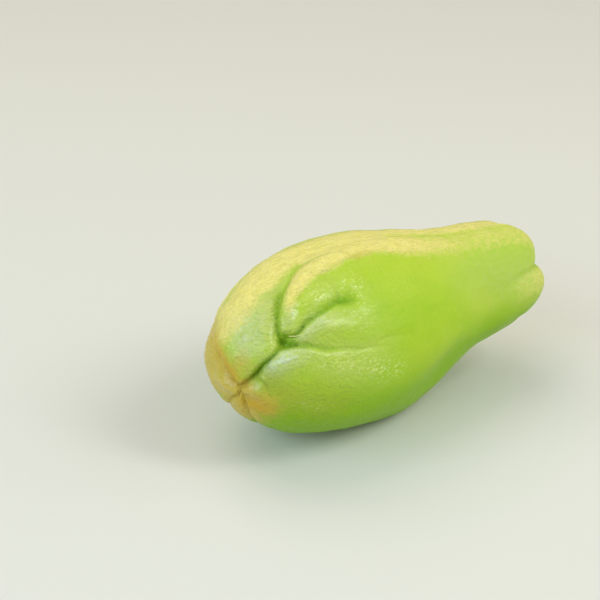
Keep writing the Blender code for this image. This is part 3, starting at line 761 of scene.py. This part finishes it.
def skinMaterial():
    material = bpy.data.materials.new("chayoteSkin")
    material.use_nodes = True
    tree = material.node_tree
    surface = tree.nodes["Principled BSDF"]
    place = addNode(tree, "ShaderNodeTexCoord").outputs["Object"]
    broad = noiseLayer(tree, place, skinFinish["patchSize"], (1.6, 1, 1), 3)
    mottle = noiseLayer(tree, place, skinFinish["mottleSize"], (1.3, 1, 1), 4)
    speckle = noiseLayer(tree, place, skinFinish["speckleSize"], (1.2, 1, 1), 2)
    furrows = noiseLayer(tree, place, skinFinish["furrowSize"], (4.5, 1, 1), 2)
    pores = ramp(tree, cellLayer(tree, place, skinFinish["pores"]), 0.05, 0.32, 1, 0)
    colour, cream, foldShade = skinColour(tree, place, (broad, mottle, speckle, furrows, pores))
    tree.links.new(colour, surface.inputs["Base Color"])

    # waxy, duller on the dry ridges
    gloss = noiseLayer(tree, place, skinFinish["glossSize"], (1, 1, 1), 3)
    roughness = ramp(tree, gloss, 0.3, 0.7, *skinFinish["roughness"])
    roughness = calculate(tree, "MULTIPLY_ADD", cream, skinFinish["ridgeRoughness"], roughness)
    tree.links.new(roughness, surface.inputs["Roughness"])
    blossomShare = attribute(tree, "blossomShare")
    wax = calculate(tree, "MULTIPLY_ADD", blossomShare, skinFinish["blossomWax"], skinFinish["wax"])
    wax = calculate(
        tree, "MULTIPLY_ADD", attribute(tree, "waxTint"), skinFinish["waxPatches"], wax)
    lit = ramp(tree, attribute(tree, "underShare"), -0.3, 0.4, 1, 0.1)
    openSkin = less(tree, foldShade, 1.3)     # wax and puckers end inside the folds
    tree.links.new(
        times(tree, wax, less(tree, cream, 0.9), lit, openSkin), surface.inputs["Coat Weight"])

    relief = skinRelief(tree, place, furrows, pores, cream, blossomShare, openSkin)
    tree.links.new(bump(tree, relief, 1.0), surface.inputs["Normal"])
    surface.inputs["Subsurface Weight"].default_value = skinFinish["throughShare"]
    surface.inputs["Subsurface Radius"].default_value = skinFinish["throughColour"]
    surface.inputs["Subsurface Scale"].default_value = skinFinish["throughReach"]
    surface.inputs["Specular IOR Level"].default_value = skinFinish["specular"]
    surface.inputs["Coat Roughness"].default_value = skinFinish["waxRoughness"]
    return material


skin, bodyPlace, smoothPlaces, skinPlaces = makeFruit()
skin.data.materials.append(skinMaterial())
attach(skin, "root")
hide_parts("chayote_fruit")


def onSkin(reach, angle):
    # where a place on the smooth body ends up on the finished skin
    away = np.linalg.norm(smoothPlaces - skinPoint(reach, angle), axis=1)
    return Vector(skinPlaces[away.argmin()])


scar = {
    "width": 6.5,
    "thickness": 2.4,
    "sunk": 1.4,            # how far its middle lies inside the skin
    "lumps": 0.3,
    "lumpSize": 1.6,
    "flakeSize": 0.8,
    "flakeRelief": 0.5,
    "darkCork": (0.16, 0.11, 0.045, 1),
    "lightCork": (0.36, 0.27, 0.13, 1),
    "roughness": 0.85,
}


def corkMaterial():
    material = bpy.data.materials.new("stemScar")
    material.use_nodes = True
    tree = material.node_tree
    surface = tree.nodes["Principled BSDF"]
    place = addNode(tree, "ShaderNodeTexCoord").outputs["Object"]
    flakes = noiseLayer(tree, place, scar["flakeSize"], (1, 1, 1), 4)
    share = ramp(tree, flakes, 0.35, 0.65)
    colour = mixColour(tree, share, scar["darkCork"], scar["lightCork"])
    tree.links.new(colour, surface.inputs["Base Color"])
    tree.links.new(bump(tree, flakes, scar["flakeRelief"]), surface.inputs["Normal"])
    surface.inputs["Roughness"].default_value = scar["roughness"]
    return material


def makeScar():
    middle = onSkin(outlineReach[-1], 0)
    bpy.ops.object.select_all(action="DESELECT")
    bpy.ops.mesh.primitive_uv_sphere_add(
        segments=36, ring_count=18, radius=scar["width"] / 2 * mm,
        location=(middle.x - scar["sunk"] * mm, middle.y, middle.z), rotation=(0, math.pi / 2, 0))
    cork = bpy.context.object
    cork.name = "stemScar"
    cork.data.name = "stemScar"
    cork.scale = (1, 1, scar["thickness"] / scar["width"])
    bpy.ops.object.transform_apply(location=True, rotation=True, scale=True)
    places = readVectors(cork.data, "co") / mm
    normals = readVectors(cork.data, "normal")
    lumps = scar["lumps"] * noiseAt(places, scar["lumpSize"], 5)
    writePlaces(cork.data, (places + normals * lumps[:, None]) * mm)
    bpy.ops.object.shade_smooth()
    cork.data.materials.append(corkMaterial())
    return cork


stemScar = makeScar()
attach(stemScar, "root")
print("stem scar made")

prickle = {
    # reach, angle and how far it stands off the skin, in mm: foot, middle and tip
    "route": [(38.8, -45.8, 0.8), (42.5, -48.6, 0.45), (46.5, -49, 0.25)],
    "radius": 0.23,
    "tipShare": 0.25,       # the tip's radius as a share of the foot's
    "streakSize": 1.2,
    "green": (0.62, 0.62, 0.20, 1),
    "straw": (0.86, 0.80, 0.42, 1),
    "roughness": 0.4,
}


def bristleMaterial():
    material = bpy.data.materials.new("prickle")
    material.use_nodes = True
    tree = material.node_tree
    surface = tree.nodes["Principled BSDF"]
    place = addNode(tree, "ShaderNodeTexCoord").outputs["Object"]
    streaks = noiseLayer(tree, place, prickle["streakSize"], (1, 1, 1), 2)
    colour = mixColour(tree, streaks, prickle["green"], prickle["straw"])
    tree.links.new(colour, surface.inputs["Base Color"])
    surface.inputs["Roughness"].default_value = prickle["roughness"]
    return material


def makePrickle():
    # a thin bristle from the finger lobe's tip over the fold below it
    heart = Vector(skinPlaces.mean(axis=0))
    foot, middle, tip = (
        onSkin(reach, angle) + (onSkin(reach, angle) - heart).normalized() * standing * mm
        for reach, angle, standing in prickle["route"])
    line = [foot, (foot + middle) / 2, middle, (middle + tip) / 2, tip]
    bpy.ops.object.select_all(action="DESELECT")
    bpy.ops.curve.primitive_nurbs_path_add()
    path = bpy.context.object
    path.name = "prickle"
    path.data.bevel_depth = prickle["radius"] * mm
    path.data.bevel_resolution = 2
    path.data.use_fill_caps = True
    for i, point in enumerate(path.data.splines[0].points):
        point.co = (*line[i], 1)
        point.radius = 1 - (1 - prickle["tipShare"]) * i / (len(line) - 1)
    bpy.ops.object.convert(target="MESH")
    bristle = bpy.context.object
    bristle.data.name = "prickle"
    bpy.ops.object.shade_smooth()
    bristle.data.materials.clear()
    bristle.data.materials.append(bristleMaterial())
    return bristle


bristle = makePrickle()
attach(bristle, "root")
print("prickle made,", len(bristle.data.polygons), "faces")

studio = {
    "floorSize": 6.0,
    "floorColour": (0.70, 0.70, 0.69, 1),
    "floorRoughness": 0.8,
    "skyColour": (1.0, 0.96, 0.72, 1),
    "skyStrength": 0.4,
    "lightsAim": (0, 0, 0.04),
    # lights as name, place, size, power, colour
    "lights": [
        ("warmTop", (-0.1, 0.6, 1.2), (1.1, 1.1), 6, (1.0, 0.93, 0.80)),
        ("coolWindow", (-1.15, -0.2, 0.8), (1.6, 0.7), 11, (0.68, 0.86, 1.0)),
        ("sparkFront", (0.45, -0.72, 0.95), (0.28, 0.55), 4, (1, 1, 0.95)),
        ("fillRight", (1.3, -1.1, 0.9), (1.8, 1.8), 12, (1, 1, 0.97)),
    ],
}


def makeFloor():
    bpy.ops.object.select_all(action="DESELECT")
    bpy.ops.mesh.primitive_plane_add(size=studio["floorSize"])
    floor = bpy.context.object
    floor.name = "studioFloor"
    paint = bpy.data.materials.new("studioFloor")
    paint.use_nodes = True
    surface = paint.node_tree.nodes["Principled BSDF"]
    surface.inputs["Base Color"].default_value = studio["floorColour"]
    surface.inputs["Roughness"].default_value = studio["floorRoughness"]
    floor.data.materials.append(paint)


def addLight(name, place, size, power, colour):
    data = bpy.data.lights.new(name, "AREA")
    data.shape = "RECTANGLE"
    data.size, data.size_y = size
    data.energy = power
    data.color = colour
    lamp = bpy.data.objects.new(name, data)
    bpy.context.scene.collection.objects.link(lamp)
    lamp.location = place
    aim = Vector(studio["lightsAim"]) - Vector(place)
    lamp.rotation_euler = aim.to_track_quat("-Z", "Y").to_euler()


makeFloor()
for light in studio["lights"]:
    addLight(*light)
world = bpy.data.worlds.new("studio")
bpy.context.scene.world = world
world.use_nodes = True
sky = world.node_tree.nodes["Background"]
sky.inputs["Color"].default_value = studio["skyColour"]
sky.inputs["Strength"].default_value = studio["skyStrength"]
bpy.context.scene.view_settings.view_transform = "Standard"
print("studio made")

eye = {
    "elevation": 29.0,
    "azimuth": -34.5,
    "distance": 0.65,
    "lens": 93.84,
    "sensor": 36,
    "aimBeside": -0.0332,     # from the smooth body's middle
    "aimAbove": 0.0060,
}


def makeCamera():
    tilt, turn = math.radians(eye["elevation"]), math.radians(eye["azimuth"])
    level = math.cos(tilt)
    back = Vector((math.sin(turn) * level, -math.cos(turn) * level, math.sin(tilt)))
    right = Vector((math.cos(turn), math.sin(turn), 0))
    up = back.cross(right)
    aim = Vector(bodyPlace) + right * eye["aimBeside"] + up * eye["aimAbove"]
    data = bpy.data.cameras.new("camera")
    data.sensor_width = eye["sensor"]
    data.lens = eye["lens"]
    camera = bpy.data.objects.new("camera", data)
    bpy.context.scene.collection.objects.link(camera)
    turned = Matrix((right, up, back)).transposed().to_4x4()
    turned.translation = aim + back * eye["distance"]
    camera.matrix_world = turned
    bpy.context.scene.camera = camera


makeCamera()
print("camera set")
